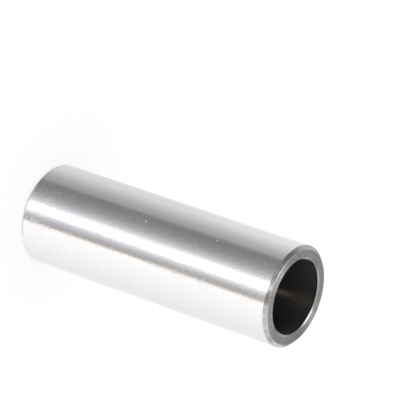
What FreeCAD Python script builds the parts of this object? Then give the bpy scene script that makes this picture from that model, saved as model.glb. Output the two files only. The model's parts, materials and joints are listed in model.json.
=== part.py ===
import FreeCAD, Part

import math
import os

import Sketcher

# Gudgeon pin: the hollow steel pin that carries a piston on its connecting rod.
# It is one piece: a thick-walled tube, ground outside, bored through, with both ends turned alike.
# Frame, in millimetres: the origin is the centre of the lower end face and +Z is the pin's axis,
# so the pin stands on that face.

NODE_NAME = "gudgeon_pin"

# Driving dimensions: the name of the cell, its value and what it measures
DRIVING_SIZES = [
    ("outer_diameter", 45.0, "Diameter of the ground outside, which runs in the piston and the rod"),
    ("wall_thickness", 6.25, "Wall between the outside and the bore"),
    ("pin_length", 131.0, "Length from end face to end face"),
    ("end_chamfer", 1.5, "Chamfer round each end, as wide on the end face as it is long on the outside"),
    ("mouth_chamfer_width", 1.2, "Chamfer round each mouth of the bore, across the end face"),
    ("mouth_chamfer_depth", 0.7, "The same chamfer, along the bore"),
    ("blend_radius", 0.5, "Rounding of both edges of each end chamfer, so that they don't score a bush"),
]

BORE_DIAMETER = "sizes.outer_diameter - 2 * sizes.wall_thickness"


def make_size_sheet(doc):
    """Writes each driving dimension into a cell that goes by its name."""
    sheet = doc.addObject("Spreadsheet::Sheet", "sizes")
    for row, (name, value, meaning) in enumerate(DRIVING_SIZES, start=1):
        sheet.set(f"A{row}", meaning)
        sheet.set(f"B{row}", str(value))
        sheet.setAlias(f"B{row}", name)
    doc.recompute()
    return sheet


def draw_circle(body, name, radius, diameter_formula):
    """Sketches a circle about the pin's axis, in the plane of the lower end face."""
    sketch = body.newObject("Sketcher::SketchObject", name)
    plane = next(item for item in body.Origin.OriginFeatures if item.Role == "XY_Plane")
    sketch.AttachmentSupport = [(plane, "")]
    sketch.MapMode = "FlatFace"
    centre = FreeCAD.Vector(0, 0, 0)
    axis = FreeCAD.Vector(0, 0, 1)
    circle = sketch.addGeometry(Part.Circle(centre, axis, radius), False)
    # Point 3 of a circle is its centre, and point 1 of line -1 is the sketch's origin
    sketch.addConstraint(Sketcher.Constraint("Coincident", circle, 3, -1, 1))
    diameter = sketch.addConstraint(Sketcher.Constraint("Diameter", circle, 2 * radius))
    sketch.renameConstraint(diameter, "diameter")
    sketch.setExpression("Constraints.diameter", diameter_formula)
    return sketch


def circles_at_both_ends(feature, radius):
    """Names the feature's two circular edges of a radius, one at each end of the pin."""
    names = []
    for number, edge in enumerate(feature.Shape.Edges, start=1):
        is_circle = isinstance(edge.Curve, Part.Circle)
        if is_circle and math.isclose(edge.Curve.Radius, radius, rel_tol=1e-6):
            names.append(f"Edge{number}")
    if len(names) != 2:
        raise RuntimeError(f"{feature.Name} has {len(names)} circles of radius {radius}, not one at each end")
    return names


def dress_edges(body, kind, name, base, edges, **formulas):
    """Chamfers or rounds the named edges of the feature before it."""
    feature = body.newObject(kind, name)
    feature.Base = (base, edges)
    if "Size2" in formulas:
        feature.ChamferType = "Two distances"
    for size_property, formula in formulas.items():
        feature.setExpression(size_property, formula)
    body.Document.recompute()
    return feature


def make_gudgeon_pin(doc, sheet):
    """Cuts the blank to length, bores it, then turns and blends its ends."""
    body = doc.addObject("PartDesign::Body", NODE_NAME)
    body.Label = NODE_NAME
    outer_radius = float(sheet.outer_diameter) / 2
    bore_radius = outer_radius - float(sheet.wall_thickness)

    blank = body.newObject("PartDesign::Pad", "blank")
    blank.Profile = draw_circle(body, "blank_section", outer_radius, "sizes.outer_diameter")
    blank.setExpression("Length", "sizes.pin_length")
    doc.recompute()

    bore = body.newObject("PartDesign::Pocket", "bore")
    bore.Profile = draw_circle(body, "bore_section", bore_radius, BORE_DIAMETER)
    bore.Type = "ThroughAll"
    bore.Reversed = True
    doc.recompute()
    tube_volume = math.pi * (outer_radius**2 - bore_radius**2) * float(sheet.pin_length)
    if not math.isclose(bore.Shape.Volume, tube_volume, rel_tol=1e-6):
        raise RuntimeError("the bore doesn't go through the blank")

    turned_ends = dress_edges(
        body,
        "PartDesign::Chamfer",
        "end_chamfers",
        bore,
        circles_at_both_ends(bore, outer_radius),
        Size="sizes.end_chamfer",
    )
    opened_mouths = dress_edges(
        body,
        "PartDesign::Chamfer",
        "mouth_chamfers",
        turned_ends,
        circles_at_both_ends(turned_ends, bore_radius),
        Size="sizes.mouth_chamfer_width",
        Size2="sizes.mouth_chamfer_depth",
    )
    # Each mouth's width has to lie across the end face, and this stops if it lies along the bore
    circles_at_both_ends(opened_mouths, bore_radius + float(sheet.mouth_chamfer_width))

    outer_rims = circles_at_both_ends(opened_mouths, outer_radius)
    face_rims = circles_at_both_ends(opened_mouths, outer_radius - float(sheet.end_chamfer))
    body.Tip = dress_edges(
        body,
        "PartDesign::Fillet",
        "blended_edges",
        opened_mouths,
        outer_rims + face_rims,
        Radius="sizes.blend_radius",
    )
    doc.recompute()
    return body


def check_document(doc):
    """Stops if any object of the document failed to build."""
    for item in doc.Objects:
        if "Invalid" in item.State or "Error" in item.State:
            raise RuntimeError(f"{item.Name} failed: {item.State}")


def export_solid(body):
    """Checks the finished solid and writes it to its own file."""
    shape = body.Shape
    if shape.isNull() or not shape.isValid() or len(shape.Solids) != 1:
        raise RuntimeError(f"{body.Label} isn't one valid solid")
    box = shape.optimalBoundingBox()
    print(f"{body.Label}: {box.XLength:.2f} x {box.YLength:.2f} x {box.ZLength:.2f} mm,")
    print(f"  {len(shape.Faces)} faces, {shape.Volume:.0f} cubic mm")
    shape.exportStep(f"parts/{body.Label}.step")


doc = FreeCAD.newDocument("gudgeon_pin_model")
sheet = make_size_sheet(doc)
pin = make_gudgeon_pin(doc, sheet)
check_document(doc)
os.makedirs("parts", exist_ok=True)
export_solid(pin)
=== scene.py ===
# %% [markdown]
# # A gudgeon pin in ground steel
# A gudgeon pin carries a piston on its connecting rod. It is a thick-walled steel tube: the outside is
# ground and superfinished until it mirrors the room, the ends are turned and the bore keeps a dark skin.
# The lesson loads the measured part, revolves its section, gives each worked surface its own finish and
# sets it in a white studio. A mirror has hardly any colour of its own, so the studio matters as much as
# the steel does.

# %% Load the part
import json
import math

import bpy
import numpy as np
from mathutils import Matrix, Vector


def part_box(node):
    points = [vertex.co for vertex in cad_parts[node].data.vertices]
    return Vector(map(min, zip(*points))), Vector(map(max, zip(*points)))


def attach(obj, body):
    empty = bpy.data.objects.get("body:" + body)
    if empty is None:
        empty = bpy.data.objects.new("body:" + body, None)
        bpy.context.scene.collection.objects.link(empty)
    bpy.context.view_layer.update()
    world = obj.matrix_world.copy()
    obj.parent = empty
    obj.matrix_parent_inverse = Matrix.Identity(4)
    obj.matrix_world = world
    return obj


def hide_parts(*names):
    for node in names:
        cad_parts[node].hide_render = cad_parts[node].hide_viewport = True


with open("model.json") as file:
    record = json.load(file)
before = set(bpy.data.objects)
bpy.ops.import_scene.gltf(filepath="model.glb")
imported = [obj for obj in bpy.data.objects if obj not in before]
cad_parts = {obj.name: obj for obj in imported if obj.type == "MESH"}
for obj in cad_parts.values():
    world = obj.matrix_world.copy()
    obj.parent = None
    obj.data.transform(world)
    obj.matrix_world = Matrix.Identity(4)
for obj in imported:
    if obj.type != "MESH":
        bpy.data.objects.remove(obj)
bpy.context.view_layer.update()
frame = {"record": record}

# %% [markdown]
# ## Sizes
# The packed record holds the sizes that other parts rely on: the running surface and the bore. Reading
# them here, instead of typing them again, keeps the dressed pin true to the part. Only the small sizes
# of the ends, which no other part relies on, are written out. The pin is round, so any side of it could
# be the one that shows in the photograph. It is named here, and the marks are placed from it.

# %% Sizes of the pin
MM, MICRON = 1e-3, 1e-6
mounts = {mount["name"]: mount for mount in frame["record"]["mounts"]}
OUTER_RADIUS = mounts["running_surface"]["dims"]["r_mm"] * MM
BORE_RADIUS = mounts["through_bore"]["dims"]["r_mm"] * MM
PIN_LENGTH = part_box("gudgeon_pin")[1].z
MOUTH_DEPTH = (PIN_LENGTH - mounts["through_bore"]["dims"]["length_mm"] * MM) / 2
MOUTH_WIDTH = 1.2 * MM
END_CHAMFER = 1.5 * MM
BLEND_RADIUS = 0.5 * MM
MOUTH_BREAK = 0.3 * MM
FACE_INNER = BORE_RADIUS + MOUTH_WIDTH
FACE_OUTER = OUTER_RADIUS - END_CHAMFER
SHOWN_TURN = math.radians(-45)
SHOWN_SIDE = (math.cos(SHOWN_TURN), math.sin(SHOWN_TURN), 0)
RIGHT_SIDE = (-math.sin(SHOWN_TURN), math.cos(SHOWN_TURN), 0)
print(f"radius {OUTER_RADIUS / MM:.2f}, bore {BORE_RADIUS / MM:.2f}, length {PIN_LENGTH / MM:.2f} mm")
print(f"end face {FACE_INNER / MM:.2f} to {FACE_OUTER / MM:.2f} mm, mouth {MOUTH_DEPTH / MM:.2f} mm deep")

# %% [markdown]
# ## The section of the wall
# Cut the pin along its axis and each wall shows one long outline with eight corners. A lathe leaves
# them sharp, and then a stone or a file breaks them. Bevel could round them all by the same amount, but
# the outer edges are rounded more than those of the mouth. So the outline is worked out here, with a
# radius for each corner. Its normals come from the same formula, which keeps the mirrored room straight
# right up to the edge.

# %% Outline with rounded corners
def rounded_outline(corners, radii, steps):
    """Points and outward normals round a closed outline, with each corner turned into an arc.

    An arc's centre is its corner moved inwards: the radius times the sum of the two sides' normals,
    divided by one plus their dot product. A point of the arc is the centre plus the radius times a
    normal, and that normal turns evenly from one side's to the other's.
    """
    corners = np.asarray(corners, float)
    radii = np.asarray(radii, float)[:, None]
    sides = np.roll(corners, -1, axis=0) - corners
    sides /= np.linalg.norm(sides, axis=1, keepdims=True)
    after = np.stack([sides[:, 1], -sides[:, 0]], axis=1)
    before = np.roll(after, 1, axis=0)
    share = 1 + np.sum(before * after, axis=1, keepdims=True)
    centres = corners - radii * (before + after) / share
    start = np.arctan2(before[:, 1], before[:, 0])
    turn = (np.arctan2(after[:, 1], after[:, 0]) - start) % (2 * np.pi)
    angles = start[:, None] + turn[:, None] * np.linspace(0, 1, steps)
    normals = np.stack([np.cos(angles), np.sin(angles)], axis=-1)
    points = centres[:, None, :] + radii[:, :, None] * normals
    return points.reshape(-1, 2), normals.reshape(-1, 2)


ARC_STEPS = 9
lower_end = [
    (BORE_RADIUS, MOUTH_DEPTH, MOUTH_BREAK),
    (FACE_INNER, 0, MOUTH_BREAK),
    (FACE_OUTER, 0, BLEND_RADIUS),
    (OUTER_RADIUS, END_CHAMFER, BLEND_RADIUS),
]
upper_end = [(radius, PIN_LENGTH - height, rounding) for radius, height, rounding in lower_end[::-1]]
corners = np.array(lower_end + upper_end)
outline, outline_normals = rounded_outline(corners[:, :2], corners[:, 2], ARC_STEPS)
print(f"the outline has {len(outline)} points, from {len(corners)} corners")

# %% [markdown]
# ## Rings along the long walls
# So far the outline has points only at its corners, and the outside would be one strip from end to end.
# Long thin faces shade and bake badly, so the long sides get evenly spaced points. A Subdivision
# modifier would add points in the arcs as well, where there are enough.

# %% Rings along the long walls
def fill_long_sides(points, normals, longest):
    """Adds evenly spaced points wherever two neighbours lie further apart than the given length.

    Each point's station is its distance along the outline. New stations are put in between, and place
    and normal are read at every station by straight interpolation.
    """
    points = np.vstack([points, points[:1]])
    normals = np.vstack([normals, normals[:1]])
    gaps = np.linalg.norm(np.diff(points, axis=0), axis=1)
    stations = np.concatenate([[0.0], np.cumsum(gaps)])
    extra = [
        np.linspace(stations[side], stations[side + 1], math.ceil(gaps[side] / longest) + 1)[1:-1]
        for side in np.flatnonzero(gaps > longest)
    ]
    every = np.sort(np.concatenate([stations, *extra]))
    read = [np.interp(every, stations, column) for column in (*points.T, *normals.T)]
    return np.stack(read[:2], axis=1), np.stack(read[2:], axis=1), every


RING_SPACING = 8 * MM
outline, outline_normals, stations = fill_long_sides(outline, outline_normals, RING_SPACING)
print(f"{len(outline)} rings, {stations[-1] / MM:.1f} mm round the section")

# %% [markdown]
# ## Turning the section into the pin
# The Screw modifier or bmesh.ops.spin would revolve the outline too. Here each point's circle is
# computed as whole arrays, because the same numbers then give the normals and the map for baking.
# The last step round meets the first one, and the outline's last point meets its first, so the skin is
# closed and has no seam.

# %% Revolve the outline
AROUND = 384


def circle_points(around):
    """Unit circle in the XY plane: cosine and sine of evenly spaced angles, with zero height."""
    angles = np.linspace(0, 2 * np.pi, around, endpoint=False)
    return np.stack([np.cos(angles), np.sin(angles), np.zeros(around)], axis=-1)


def revolve(section, around):
    """Sweeps (radius, height) pairs about Z: radius times the unit circle, plus height straight up."""
    swept = section[:, :1, None] * circle_points(around)
    swept[:, :, 2] += section[:, 1:]
    return swept.reshape(-1, 3)


def ring_quads(rings, around):
    """Corner numbers of each quad: this ring's step and next step, then the next ring's, outwards."""
    ring = np.arange(rings)[:, None]
    step = np.arange(around)[None, :]
    next_ring, next_step = (ring + 1) % rings, (step + 1) % around
    quads = [
        ring * around + step,
        ring * around + next_step,
        next_ring * around + next_step,
        next_ring * around + step,
    ]
    return np.stack(quads, axis=-1).reshape(-1, 4)


rings = len(outline) - 1
pin_points = revolve(outline[:-1], AROUND)
pin_normals = revolve(outline_normals[:-1], AROUND)
pin_quads = ring_quads(rings, AROUND)
print(f"{len(pin_points)} vertices, {2 * len(pin_quads)} triangles")

# %% [markdown]
# ## Which tool made which strip
# Six operations leave six finishes, and each gets a material slot of its own: the ground outside, the
# turned chamfers, the blended edges beside the end faces, the faced ends, the mouths of the bore and the
# bore. A strip between two rings belongs to one of them, which its middle decides.

# %% Sort the strips by finish
FINISHES = ["ground_outside", "turned_chamfer", "blended_edge", "faced_end", "bore_mouth", "dark_bore"]
OUTSIDE, CHAMFER, BLEND, FACE, MOUTH, BORE = range(len(FINISHES))
BLEND_DEPTH = BLEND_RADIUS * (1 - math.sqrt(0.5))
TINY = 0.001 * MM
middle = (outline[:-1] + outline[1:]) / 2
from_end = np.minimum(middle[:, 1], PIN_LENGTH - middle[:, 1])
strip_finish = np.select(
    [
        middle[:, 0] > OUTER_RADIUS - TINY,
        middle[:, 0] < BORE_RADIUS + TINY,
        from_end < TINY,
        (from_end < MOUTH_BREAK / 2) & (middle[:, 0] < FACE_INNER + MOUTH_BREAK),
        middle[:, 0] < FACE_INNER,
        from_end < BLEND_DEPTH,
    ],
    [OUTSIDE, BORE, FACE, BLEND, MOUTH, BLEND],
    CHAMFER,
)
for number, name in enumerate(FINISHES):
    print(f"{name}: {np.count_nonzero(strip_finish == number)} strips")

# %% [markdown]
# ## A map for baking
# When the pin leaves Blender, its finishes are baked into images, and a map says where each face goes.
# Smart UV Project would cut the walls into many islands. A pin unrolls into plain rectangles instead.
# The outside gets most of the image, with its length across, because the grinding marks are finest
# that way. The narrow ends are unrolled round the image's width, several times enlarged.

# %% Unroll the walls
MAP_GAP = 0.004
MAP_ROWS = {"lower": (0.0, 0.1), "outside": (0.1, 0.7), "upper": (0.7, 0.8), "bore": (0.8, 1.0)}


def unroll(around):
    """UV corners of every quad: one share along the outline's part, the other round the pin."""
    is_outside, is_bore = strip_finish == OUTSIDE, strip_finish == BORE
    is_end = ~(is_outside | is_bore)
    is_lower = is_end & (middle[:, 1] < PIN_LENGTH / 2)
    parts = {"lower": is_lower, "outside": is_outside, "upper": is_end & ~is_lower, "bore": is_bore}
    turn = np.arange(around) / around
    turn = np.stack([turn, turn + 1 / around, turn + 1 / around, turn], axis=-1)
    uv = np.zeros((rings, around, 4, 2))
    for name, chosen in parts.items():
        start, end = stations[:-1][chosen], stations[1:][chosen]
        low, high = start.min(), end.max()
        along = (np.stack([start, start, end, end], axis=-1) - low) / (high - low)
        along, across = np.broadcast_arrays(along[:, None, :], turn[None, :, :])
        if name in ("lower", "upper"):
            along, across = across, along
        bottom, top = MAP_ROWS[name]
        uv[chosen, :, :, 0] = along
        uv[chosen, :, :, 1] = bottom + MAP_GAP + across * (top - bottom - 2 * MAP_GAP)
    return uv.reshape(-1, 2)


pin_map = unroll(AROUND)
print(f"map of {len(pin_map)} corners, from {pin_map.min(0)} to {pin_map.max(0)}")

# %% [markdown]
# ## The mesh
# The arrays go into one mesh. Shading is smooth, with the outline's own normals instead of the ones
# that Blender averages from the faces, so the long walls reflect like a true cylinder.

# %% Build the pin
def build_pin(name):
    """Makes one closed mesh from the arrays, with its finishes, its map and its exact normals."""
    mesh = bpy.data.meshes.new(name)
    mesh.from_pydata(pin_points, [], pin_quads)
    for finish in FINISHES:
        mesh.materials.append(bpy.data.materials.new(finish))
    mesh.polygons.foreach_set("material_index", np.repeat(strip_finish, AROUND).astype(np.int32))
    mesh.polygons.foreach_set("use_smooth", np.ones(len(pin_quads), bool))
    bake_map = mesh.uv_layers.new(name="OFBake")
    bake_map.uv.foreach_set("vector", pin_map.ravel().astype(np.float32))
    mesh.update()
    mesh.normals_split_custom_set_from_vertices(pin_normals)
    piece = bpy.data.objects.new(name, mesh)
    bpy.context.scene.collection.objects.link(piece)
    return piece


pin = build_pin("finished_pin")
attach(pin, "root")
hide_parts("gudgeon_pin")
print(pin.name, "spans", [round(side / MM, 3) for side in pin.dimensions], "mm")

# %% [markdown]
# ## Shader maths as Python
# A finish is arithmetic on the place of each point. Every sum would need its own Math node, placed and
# linked by hand. This class wraps a node's output and adds that node when two outputs are added or
# multiplied, so a finish can be read as a formula.

# %% Wires that can be added and multiplied
class Wire:
    """One output socket of a node tree, on which Python's signs add Math nodes."""

    def __init__(self, tree, socket=None):
        self.tree = tree
        self.socket = socket

    def node(self, kind, settings=None, sockets=None, output=None):
        """Adds any node: its settings first, then each input by identifier. Gives the named output or
        the first one."""
        made = self.tree.nodes.new(kind)
        for name, value in (settings or {}).items():
            setattr(made, name, value)
        inputs = {socket.identifier: socket for socket in made.inputs}
        for name, value in (sockets or {}).items():
            if isinstance(value, Wire):
                self.tree.links.new(value.socket, inputs[name])
            else:
                inputs[name].default_value = value
        outputs = {socket.identifier: socket for socket in made.outputs}
        return Wire(self.tree, outputs[output] if output else next(iter(made.outputs), None))

    def math(self, operation, *values):
        """A Math node on one to three values."""
        names = ["Value", "Value_001", "Value_002"]
        return self.node("ShaderNodeMath", {"operation": operation}, dict(zip(names, values)))

    def __add__(self, other):
        return self.math("ADD", self, other)

    def __radd__(self, other):
        return self.math("ADD", other, self)

    def __sub__(self, other):
        return self.math("SUBTRACT", self, other)

    def __rsub__(self, other):
        return self.math("SUBTRACT", other, self)

    def __mul__(self, other):
        return self.math("MULTIPLY", self, other)

    def __rmul__(self, other):
        return self.math("MULTIPLY", other, self)

    def __truediv__(self, other):
        return self.math("DIVIDE", self, other)

    def __rtruediv__(self, other):
        return self.math("DIVIDE", other, self)

    def __pow__(self, other):
        return self.math("POWER", self, other)

    def __neg__(self):
        return self.math("MULTIPLY", self, -1.0)

    def __abs__(self):
        return self.math("ABSOLUTE", self)

    def ramp(self, start, end, low=0.0, high=1.0):
        """A Map Range node: low up to start, high from end on, and a soft step between."""
        sockets = {"Value": self, "From Min": start, "From Max": end, "To Min": low, "To Max": high}
        return self.node("ShaderNodeMapRange", {"interpolation_type": "SMOOTHSTEP"}, sockets)

    def window(self, first, last, soft):
        """One between two values and zero outside them, with soft borders of a given width."""
        opening = self.ramp(first - soft / 2, first + soft / 2)
        return opening * self.ramp(last - soft / 2, last + soft / 2, 1, 0)

    def between(self, low, high):
        """Low where this wire is zero and high where it is one. Both may be numbers or wires."""
        return low + (high - low) * self

    def blend(self, first, second):
        """A Mix node from one colour to another. Each is three numbers or a wire."""
        colours = [colour if isinstance(colour, Wire) else (*colour, 1.0) for colour in (first, second)]
        sockets = {"Factor_Float": self, "A_Color": colours[0], "B_Color": colours[1]}
        return self.node("ShaderNodeMix", {"data_type": "RGBA"}, sockets, "Result_Color")

    def along(self, axis):
        """How far this vector reaches along an axis: their dot product."""
        sockets = {"Vector": self, "Vector_001": axis}
        return self.node("ShaderNodeVectorMath", {"operation": "DOT_PRODUCT"}, sockets, "Value")


print("a wire's own methods:", ", ".join(name for name in vars(Wire) if not name.startswith("_")))

# %% [markdown]
# ## Reading the place on the pin
# Object coordinates are metres in the pin's own frame. Marks that a tool leaves on a turned part run
# round the axis: they change fast along it and slowly around it. Noise has that look when its
# coordinates are squeezed one way and stretched the other. UV coordinates would work as well, but they
# have a seam, and the place in space has none.

# %% Place, radius and tool marks
class Place:
    """Where a point lies on the pin, as wires: its vector, x, y, height and radius."""

    def __init__(self, tree):
        self.vector = Wire(tree).node("ShaderNodeTexCoord", output="Object")
        self.x = self.vector.along((1, 0, 0))
        self.y = self.vector.along((0, 1, 0))
        self.height = self.vector.along((0, 0, 1))
        self.radius = (self.x * self.x + self.y * self.y) ** 0.5

    def rings(self, along, spacing, length):
        """Noise in rings: one wave per spacing along the given wire, one per length round the pin."""
        sockets = {"X": self.x / length, "Y": self.y / length, "Z": along / spacing}
        stretched = along.node("ShaderNodeCombineXYZ", None, sockets)
        sockets = {"Vector": stretched, "Scale": 1.0, "Detail": 3.0}
        return along.node("ShaderNodeTexNoise", None, sockets).ramp(0.3, 0.7)

    def clouds(self, size, detail=2.0):
        """Cloudy noise of one size in every direction, stretched to run from 0 to 1."""
        sockets = {"Vector": self.vector, "Scale": 1 / size, "Detail": detail}
        return self.vector.node("ShaderNodeTexNoise", None, sockets).ramp(0.3, 0.7)

    def dot(self, centre, size):
        """One at a point, given in metres, and zero a size away from it."""
        sockets = {"Vector": self.vector, "Vector_001": centre}
        gap = self.vector.node("ShaderNodeVectorMath", {"operation": "DISTANCE"}, sockets, "Value")
        return gap.ramp(0.0, size, 1.0, 0.0)


print("patterns on the pin:", ", ".join(name for name in vars(Place) if not name.startswith("_")))

# %% [markdown]
# ## One recipe for six finishes
# All six finishes are the same Principled shader. Its colour, roughness and bump change from place to
# place and come as functions, and the rest are constants. Six copied node trees would look the same, but
# here a finish is a few lines that can be compared with its neighbours. Rings spread light across
# themselves, so the turned finishes are anisotropic, a quarter turn round from the default.

# %% Greys of steel and the recipe
def steel_grey(lightness):
    """The even grey of ground steel."""
    return (lightness,) * 3


def turned_grey(lightness):
    """The browner grey of steel that a lathe tool leaves."""
    return (lightness, 0.97 * lightness, 0.955 * lightness)


def finish(name, base, roughness, bump, **constants):
    """Fills a finish's material: the shader, its varying sockets and its constants.

    The bump is a height wire, in units of the depth in metres that comes with it.
    """
    material = bpy.data.materials[name]
    material.use_nodes = True
    tree = material.node_tree
    tree.nodes.clear()
    place = Place(tree)
    height, depth = bump(place)
    bumped = height.node("ShaderNodeBump", None, {"Height": height, "Distance": depth})
    sockets = {"Base Color": base(place), "Roughness": roughness(place), "Normal": bumped}
    sockets.update({key.replace("_", " "): value for key, value in constants.items()})
    shader = height.node("ShaderNodeBsdfPrincipled", None, sockets)
    shader.node("ShaderNodeOutputMaterial", None, {"Surface": shader})
    print(f"{name}: {len(tree.nodes)} nodes")


ALONG_THE_RINGS = 0.25
print("ground steel", steel_grey(0.7), "and turned steel", turned_grey(0.7))

# %% [markdown]
# ## The ground outside
# A centreless grinder and then a fine stone leave the outside almost a mirror. What is left is a faint
# mottle up to a millimetre across, which breaks up the edge of a bright reflection, hair-fine rings from
# the stone, and three nicks from handling. The nicks are half a millimetre wide and under 0.2 mm deep,
# and the rest is far shallower, so all of it is bump and not mesh. A clear coat over a rougher base
# would give two reflections, which bare steel doesn't have.

# %% Finish of the outside
NICKS = [(-31, 34, 0.4), (-25, 70, 0.45), (-6, 108, 0.35)]
NICK_DEPTH = 17.5


def sum_of_nicks(place):
    """Dots at the nicks: degrees round from the side that shows, mm below the upper end, radius in mm."""
    total = 0.0
    for turn, depth, radius in NICKS:
        angle = SHOWN_TURN + math.radians(turn)
        x, y = OUTER_RADIUS * math.cos(angle), OUTER_RADIUS * math.sin(angle)
        total = total + place.dot((x, y, PIN_LENGTH - depth * MM), radius * MM)
    return total


def outside_bump(place):
    """Fine mottle that comes in patches, and finer rings, with the nicks sunk many times deeper."""
    mottle = place.clouds(1.1 * MM) + place.clouds(0.5 * MM)
    mottle = mottle * place.clouds(14 * MM).between(0.7, 1.3)
    rings = 0.25 * place.rings(place.height, 0.32 * MM, 25 * MM)
    return mottle + rings - NICK_DEPTH * sum_of_nicks(place), 8.7 * MICRON


def outside_roughness(place):
    """A mirror, hazed in specks that gather in patches."""
    haze = place.clouds(0.9 * MM, 3.0) ** 2.0 * place.clouds(16 * MM).between(0.3, 1.0)
    return 0.07 + 0.02 * place.clouds(2.5 * MM) + 0.22 * haze


finish(
    "ground_outside",
    base=lambda place: place.clouds(1 * MM).blend(steel_grey(0.69), steel_grey(0.713)),
    roughness=outside_roughness,
    bump=outside_bump,
    Metallic=1.0,
    Anisotropic=0.5,
    Anisotropic_Rotation=ALONG_THE_RINGS,
)

# %% [markdown]
# ## The chamfers
# A lathe tool turns the chamfer in one quick pass and leaves rings that are coarser than the grinder's.
# They spread each lamp's image across themselves, so the shader is anisotropic. Modelling the rings
# would need thousands of strips for marks that are only seen as a satin sheen.

# %% Finish of the chamfers
finish(
    "turned_chamfer",
    base=lambda place: place.clouds(2 * MM).blend(turned_grey(0.58), turned_grey(0.72)),
    roughness=lambda place: place.rings(place.height, 0.2 * MM, 12 * MM).between(0.16, 0.22),
    bump=lambda place: (place.rings(place.height, 0.16 * MM, 20 * MM), 1.5 * MICRON),
    Metallic=1.0,
    Anisotropic=0.6,
    Anisotropic_Rotation=ALONG_THE_RINGS,
)

# %% [markdown]
# ## The blended edges
# The sharp edge beside the end face would cut a hand or a bush, so it is rounded and polished on a fine
# wheel, which leaves the brightest line on the pin. The outside's own grey would draw that line too
# dull. The wheel's scratches cross each other, so this finish has no direction.

# %% Finish of the blended edges
finish(
    "blended_edge",
    base=lambda place: place.clouds(3 * MM).blend(steel_grey(0.93), steel_grey(0.98)),
    roughness=lambda place: place.clouds(1 * MM).between(0.17, 0.23),
    bump=lambda place: (place.clouds(0.3 * MM), 2 * MICRON),
    Metallic=1.0,
)

# %% [markdown]
# ## The faced ends
# A facing cut runs from the outside in and leaves a fine spiral, which looks like rings round the bore.
# Painted shade darkens the side away from the one that shows. The upper end has one short knock, a line
# across those rings that light catches. It is bump too, because cutting it into the mesh would break up
# the clean strips for a mark a hundredth of a millimetre deep.

# %% Finish of the faced ends
KNOCK_TURN = SHOWN_TURN + math.radians(-146)
KNOCK_INNER, KNOCK_OUTER = 17.6 * MM, 20.5 * MM
KNOCK_DEPTH = 4.0
# Strength of the painted shade on the side of each end face away from the one that shows.
FAR_SIDE_SHADE = 0.25


def knock(place):
    """A thin radial line on the upper end: narrow across its direction, and about 3 mm long."""
    towards = (math.cos(KNOCK_TURN), math.sin(KNOCK_TURN), 0)
    across = (-math.sin(KNOCK_TURN), math.cos(KNOCK_TURN), 0)
    length = place.vector.along(towards).window(KNOCK_INNER, KNOCK_OUTER, 0.6 * MM)
    width = abs(place.vector.along(across)).ramp(0.1 * MM, 0.35 * MM, 1.0, 0.0)
    return length * width * place.height.ramp(0.0, PIN_LENGTH)


def face_colour_and_shade(place):
    """Mottled steel, with painted shade that fades out towards the side that shows."""
    steel = place.clouds(1.6 * MM, 4.0).blend(turned_grey(0.74), turned_grey(0.96))
    # Painted shade: darker towards the side away from the one that shows.
    painted_shade = place.vector.along(SHOWN_SIDE).ramp(-OUTER_RADIUS, OUTER_RADIUS, FAR_SIDE_SHADE, 0.0)
    return painted_shade.blend(steel, turned_grey(0.2))


def face_bump(place):
    """Rings round the bore, with the knock cut a few times deeper."""
    return place.rings(place.radius, 0.3 * MM, 25 * MM) - KNOCK_DEPTH * knock(place), 3 * MICRON


finish(
    "faced_end",
    base=face_colour_and_shade,
    roughness=lambda place: place.rings(place.radius, 0.5 * MM, 15 * MM).between(0.3, 0.35),
    bump=face_bump,
    Metallic=1.0,
    Anisotropic=1.0,
    Anisotropic_Rotation=ALONG_THE_RINGS,
)

# %% [markdown]
# ## The mouths of the bore
# A countersink opens each mouth after the bore is drilled. It leaves a smoother ring than the facing
# cut, so it flashes where it meets the light. The bore's dark skin still covers the lower third of it. A
# ring of faces could carry that, but a colour that changes with the radius gives a softer edge.

# %% Finish of the mouths
SKIN_DARK, SKIN_LIGHT = (0.011, 0.0125, 0.0118), (0.017, 0.0185, 0.0178)
SKIN_ENDS, STEEL_STARTS = BORE_RADIUS + 0.3 * MM, BORE_RADIUS + 0.55 * MM


def mouth_colour(place):
    """Bare steel, with the bore's dark skin still on the lower third of the countersink."""
    steel = place.clouds(2 * MM).blend(turned_grey(0.62), turned_grey(0.68))
    is_bare = place.radius.ramp(SKIN_ENDS, STEEL_STARTS)
    return is_bare.blend(SKIN_DARK, steel)


finish(
    "bore_mouth",
    base=mouth_colour,
    roughness=lambda place: place.clouds(1.5 * MM).between(0.2, 0.26),
    bump=lambda place: (place.rings(place.height, 0.12 * MM, 20 * MM), 1 * MICRON),
    Metallic=1.0,
    Anisotropic=0.5,
    Anisotropic_Rotation=ALONG_THE_RINGS,
)

# %% [markdown]
# ## The bore
# The bore is drilled and reamed, never polished, and keeps the dark skin of its heat treatment. A thin
# oxide with oil on it isn't a bare metal, so this finish is a dark non-metal with a strong shine at
# shallow angles. A dark metal would take on the colour of the whole room instead. A brown line along
# the back wall is a painted highlight.

# %% Finish of the bore
# Colour of a painted highlight: a brown streak up the back wall of the bore.
PAINTED_STREAK = (0.26, 0.18, 0.13)
STREAK_BEGINS, STREAK_FULL = PIN_LENGTH - 8 * MM, PIN_LENGTH - 20 * MM


def depth_in_bore(place):
    """Distance from the nearer end: half the length less the distance from the middle."""
    return PIN_LENGTH / 2 - abs(place.height - PIN_LENGTH / 2)


def painted_streak(place):
    """Painted highlight: one on a narrow line up the bore's back wall, fading out below the upper mouth.
    """
    line = abs(place.vector.along(RIGHT_SIDE)).ramp(0.2 * MM, 1.7 * MM, 1.0, 0.0)
    back_wall = place.vector.along(SHOWN_SIDE).ramp(-BORE_RADIUS / 2, 0.0, 1.0, 0.0)
    return line * back_wall * place.height.ramp(STREAK_FULL, STREAK_BEGINS, 1.0, 0.02)


def bore_skin_and_streak(place):
    """The dark skin, with the painted highlight streak over it."""
    return painted_streak(place).blend(place.clouds(4 * MM).blend(SKIN_DARK, SKIN_LIGHT), PAINTED_STREAK)


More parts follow.
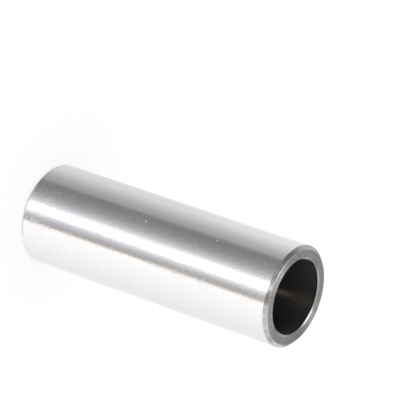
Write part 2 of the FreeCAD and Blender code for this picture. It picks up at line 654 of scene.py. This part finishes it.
finish(
    "dark_bore",
    base=bore_skin_and_streak,
    roughness=lambda place: depth_in_bore(place).ramp(2 * MM, 15 * MM, 0.8, 0.56),
    bump=lambda place: (place.rings(place.height, 0.5 * MM, 15 * MM), 3 * MICRON),
    Metallic=0.0,
    IOR=1.65,
    Specular_Tint=(1.0, 0.91, 0.83, 1.0),
    Anisotropic=1.0,
    Anisotropic_Rotation=ALONG_THE_RINGS,
)

# %% [markdown]
# ## The studio in the steel
# The bands on the pin are pictures of lamps and cards that stand round it. Real cards could be built as
# meshes, but each band depends only on direction, so the world draws them. A direction has a bearing,
# in degrees round the pin from the side that shows and positive to the right, and a rise, in degrees
# above the horizon. Only reflections see this room. The camera and the matt floor see plain white. A
# brightness of one is as bright as that white.

# %% Bearing and rise of a direction
class Look:
    """The direction in which a reflection leaves, as wires."""

    def __init__(self, tree):
        direction = Wire(tree).node("ShaderNodeTexCoord", output="Generated")
        self.front = direction.along(SHOWN_SIDE)
        self.right = direction.along(RIGHT_SIDE)
        self.up = direction.along((0, 0, 1))
        self.bearing = self.right.math("ARCTAN2", self.right, self.front) * math.degrees(1)
        self.rise = self.up.math("ARCSINE", self.up) * math.degrees(1)
        self.side = abs(self.bearing)
        self.on_right = self.bearing.ramp(-1, 1)


world = bpy.data.worlds.new("white_studio")
world.use_nodes = True
world.cycles.sampling_method = "NONE"
studio_nodes = world.node_tree.nodes
studio_nodes.clear()
look = Look(world.node_tree)
print(len(studio_nodes), "nodes for the direction")

# %% [markdown]
# ## White paper and the wall behind
# The pin stands on white paper, so whatever looks down mirrors it. On the left the paper is in shade,
# except close by, and on the right it lies in the light. Behind the pin it is greyer at the pin's foot,
# and further back it curves up into a wall.

# %% Paper and wall
SHADED_PAPER, LIT_PAPER = (0.54, 1.07), 1.54
CLOSE_PAPER, FOOT_SHADE = 1.1, 0.5
LEFT_WALL, RIGHT_WALL, WALL_BEHIND = 0.64, 0.97, 0.35


def paper_and_wall(look):
    """Brightness of the paper at each bearing, which gives way to the wall as the rise grows."""
    shaded = (-look.bearing).ramp(68, 127, *SHADED_PAPER) * look.rise.ramp(-32.5, -29.5, 0.83, 1.0)
    shaded = look.rise.ramp(-58, -46, 1.0, 0.0).between(shaded, CLOSE_PAPER)
    lit = LIT_PAPER - 0.0032 * look.bearing
    wall = look.side.ramp(150, 169).between(look.on_right.between(LEFT_WALL, RIGHT_WALL), WALL_BEHIND)
    behind = look.side.ramp(140, 160)
    above_paper = look.rise.ramp(-26 - 4.5 * behind, -4 - 19 * behind)
    foot = look.side.ramp(130, 160) * look.rise.ramp(-46, -35, 1.0, 0.0)
    paper = look.on_right.between(shaded, lit) * foot.between(1.0, FOOT_SHADE)
    return above_paper.between(paper, wall)


below_cards = paper_and_wall(look)
print(len(studio_nodes), "nodes with the paper and the wall")

# %% [markdown]
# ## The cards
# Two upright cards keep a polished cylinder from going white all over. The dark one on the left draws
# the dark band and the grey one on the right the grey band, and the strip lamp shines between them.

# %% Cards
DARK_CARD, GREY_CARD = 0.25, 0.55
LEFT_EDGE, RIGHT_EDGE, LOWER_EDGE = (-72.5, -65.5), (33.0, 35.4), (-56, -44)


def card_mask(look):
    """One where a direction meets either card, fading to zero across their edges."""
    across = look.bearing.ramp(*LEFT_EDGE) * look.bearing.ramp(*RIGHT_EDGE, 1.0, 0.0)
    return across * look.rise.ramp(*LOWER_EDGE)


on_cards = card_mask(look)
cards = look.on_right.between(DARK_CARD, GREY_CARD)
print(len(studio_nodes), "nodes with the cards")

# %% [markdown]
# ## The upper room
# Above the cards the room is dim on the left, with one darker stretch, and pale on the right. Chamfers
# and end faces mirror this part, so it decides how they stand out from the outside.

# %% Upper room
LEFT_ROOM, LEFT_SHADE, ROOM_BEHIND = 0.27, 0.1, 0.29
PALE_WALL, CEILING = (0.7, 0.86), (0.38, 0.5)


def upper_room(look):
    """Walls above the cards and the ceiling over them."""
    behind = look.side.ramp(100, 145)
    left = behind.between(LEFT_ROOM - LEFT_SHADE * look.bearing.window(-108, -80, 16), ROOM_BEHIND)
    pale_wall = look.right.ramp(0.15, 0.7, *PALE_WALL)
    is_pale = look.bearing.ramp(40, 49) * look.bearing.ramp(117, 136, 1.0, 0.0)
    walls = is_pale.between(left, pale_wall)
    return look.rise.ramp(52, 78).between(walls, look.on_right.between(*CEILING))


def climb(look):
    """Zero down at the cards and one in the upper room, which starts lower on the right."""
    return look.rise.ramp(14 - 5 * look.on_right, 32 - 12 * look.on_right)


low_room = on_cards.between(below_cards, cards)
room_light = climb(look).between(low_room, upper_room(look))
print(len(studio_nodes), "nodes with the upper room")

# %% [markdown]
# ## The strip lamp and the soft box
# One narrow upright lamp stands in front and makes the white line along the pin. Its light fades out
# over the dark card, fast at first and then slowly, and ends sooner on the grey one. A soft box hangs
# overhead, and the mouth of the bore and the rounded edges flash where they mirror it.

# %% Lamps
STRIP_CORE, SOFT_BOX = 1.4, 1.25
LEFT_GLOW, LEFT_FADE = 2.22, 14.9
RIGHT_GLOW, RIGHT_END, RIGHT_REACH = 0.82, 28, 19


def strip_lamp(look):
    """The lamp's core and the glow on either side of it, dimmer above.

    On the left the glow falls by the same share in every degree. On the right it is a power of the
    distance that is left to its end.
    """
    left_glow = LEFT_GLOW * look.side.math("EXPONENT", look.side / -LEFT_FADE)
    left_glow = left_glow * look.rise.ramp(-35, -31, 0.87, 1.0)
    reach = (RIGHT_END - look.bearing) / RIGHT_REACH
    right_glow = RIGHT_GLOW * reach.math("MAXIMUM", reach, 0.0) ** 1.6
    right_glow = right_glow * look.rise.ramp(-35, -31, 0.68, 1.0)
    core = look.side.ramp(4.5, 8.0, STRIP_CORE, 0.0)
    dimming = look.rise.ramp(25, 60, 1.0, 0.3) * look.rise.ramp(64, 76, 1.0, 0.0)
    return (look.on_right.between(left_glow, right_glow) + core) * dimming


def soft_box(look):
    """A rectangle on a ceiling one unit up: front over up is how far forward the ceiling is met."""
    above = look.up.math("MAXIMUM", look.up, 0.01)
    length = (look.front / above).window(-0.45, 0.25, 0.1)
    width = (look.right / above).window(-0.52, -0.12, 0.08)
    return SOFT_BOX * (length * width) * look.rise.ramp(20, 30)


studio_light = room_light + strip_lamp(look) * on_cards + soft_box(look)
print(len(studio_nodes), "nodes with the lamps")

# %% [markdown]
# ## Tints and the finished studio
# A mirror shows every tint of its room. The strip lamp is a little warm and its glow is faintly cool,
# the edge of the grey card is warm from the paper next to it, and the dark card is faintly warm too. The
# rest has no colour of its own.

# %% World of the studio
COOL, WARM, LAMP_TINT = (0.965, 0.985, 1.06), (1.08, 0.97, 0.91), (1.05, 0.95, 0.88)
NEUTRAL, CARD_TINT = (1, 1, 1), (1.02, 1, 0.975)


def studio_tint(look):
    """Colour of the room by direction, close to white everywhere."""
    cool = look.side.ramp(3, 8) * look.side.ramp(22, 29, 1.0, 0.0) * look.rise.ramp(-33, -30.5, 1.0, 0.0)
    warm = look.bearing.ramp(25, 34) * look.bearing.ramp(36, 39, 1.0, 0.0)
    room = look.bearing.window(-74, -26, 10).blend(NEUTRAL, CARD_TINT)
    return look.side.ramp(3, 6).blend(LAMP_TINT, warm.blend(cool.blend(room, COOL), WARM))


def light_the_world(tint, light):
    """Reflections see the studio. The camera and matt surfaces see white."""
    studio = light.node("ShaderNodeBackground", None, {"Color": tint, "Strength": light})
    white = light.node("ShaderNodeBackground", None, {"Color": (1, 1, 1, 1), "Strength": 1.0})
    is_glossy = light.node("ShaderNodeLightPath", output="Is Glossy Ray")
    choice = {"Fac": is_glossy, "Shader": white, "Shader_001": studio}
    mixed = light.node("ShaderNodeMixShader", None, choice)
    light.node("ShaderNodeOutputWorld", None, {"Surface": mixed})
    bpy.context.scene.world = world


light_the_world(studio_tint(look), studio_light)
print(len(studio_nodes), "nodes in the finished studio")

# %% [markdown]
# ## The floor
# The pin stands on white paper that has no visible edge. The floor gives off most of its white and
# reflects the rest, so it stays white in the open and still darkens softly where the pin stands.

# %% White floor
FLOOR_GLOW, FLOOR_COLOUR, FLOOR_SIDE = 0.76, 0.26, 4.0


def build_floor():
    """A square at height zero whose material adds plain white light to a matt white."""
    half = FLOOR_SIDE / 2
    mesh = bpy.data.meshes.new("white_floor")
    corners = [(-half, -half, 0), (half, -half, 0), (half, half, 0), (-half, half, 0)]
    mesh.from_pydata(corners, [], [(0, 1, 2, 3)])
    material = bpy.data.materials.new("white_paper")
    material.use_nodes = True
    tree = material.node_tree
    tree.nodes.clear()
    start = Wire(tree)
    glow = start.node("ShaderNodeEmission", None, {"Color": (1, 1, 1, 1), "Strength": FLOOR_GLOW})
    matt = start.node("ShaderNodeBsdfDiffuse", None, {"Color": (*(FLOOR_COLOUR,) * 3, 1.0)})
    both = start.node("ShaderNodeAddShader", None, {"Shader": glow, "Shader_001": matt})
    start.node("ShaderNodeOutputMaterial", None, {"Surface": both})
    mesh.materials.append(material)
    floor = bpy.data.objects.new("white_floor", mesh)
    bpy.context.scene.collection.objects.link(floor)
    floor.visible_glossy = False
    return floor


floor = build_floor()
print("floor", FLOOR_SIDE, "m square")

# %% [markdown]
# ## The camera
# The photograph looks along the pin's length from above, with the camera tipped so that the pin runs
# down to the right. The pin itself stays upright here, so the whole tilt is in the camera's roll. The
# angles come from fitting the pin's edges in the photograph.

# %% Camera of the photograph
LOOK_AZIMUTH, LOOK_ELEVATION, ROLL = 46.391, 31.613, 108.364
LENS = 263.3
AIM, DISTANCE = Vector((-17.951, -18.845, 70.938)) * MM, 1258.345 * MM


def build_camera():
    """Looks at the aim point from its azimuth and elevation, then rolls about the line of sight."""
    turn, rise, roll = (math.radians(angle) for angle in (LOOK_AZIMUTH, LOOK_ELEVATION, ROLL))
    forward = Vector((-math.sin(turn) * math.cos(rise), math.cos(turn) * math.cos(rise), -math.sin(rise)))
    level = forward.cross(Vector((0, 0, 1))).normalized()
    up = level.cross(forward) * math.cos(roll) - level * math.sin(roll)
    right = forward.cross(up)
    data = bpy.data.cameras.new("photo_camera")
    data.lens = LENS
    camera = bpy.data.objects.new("photo_camera", data)
    axes = Matrix((right, up, -forward)).transposed().to_4x4()
    camera.matrix_world = Matrix.Translation(AIM - forward * DISTANCE) @ axes
    bpy.context.scene.collection.objects.link(camera)
    bpy.context.scene.camera = camera
    return camera


camera = build_camera()
bpy.context.scene.view_settings.view_transform = "Standard"
print("camera at", [round(value, 4) for value in camera.matrix_world.translation])
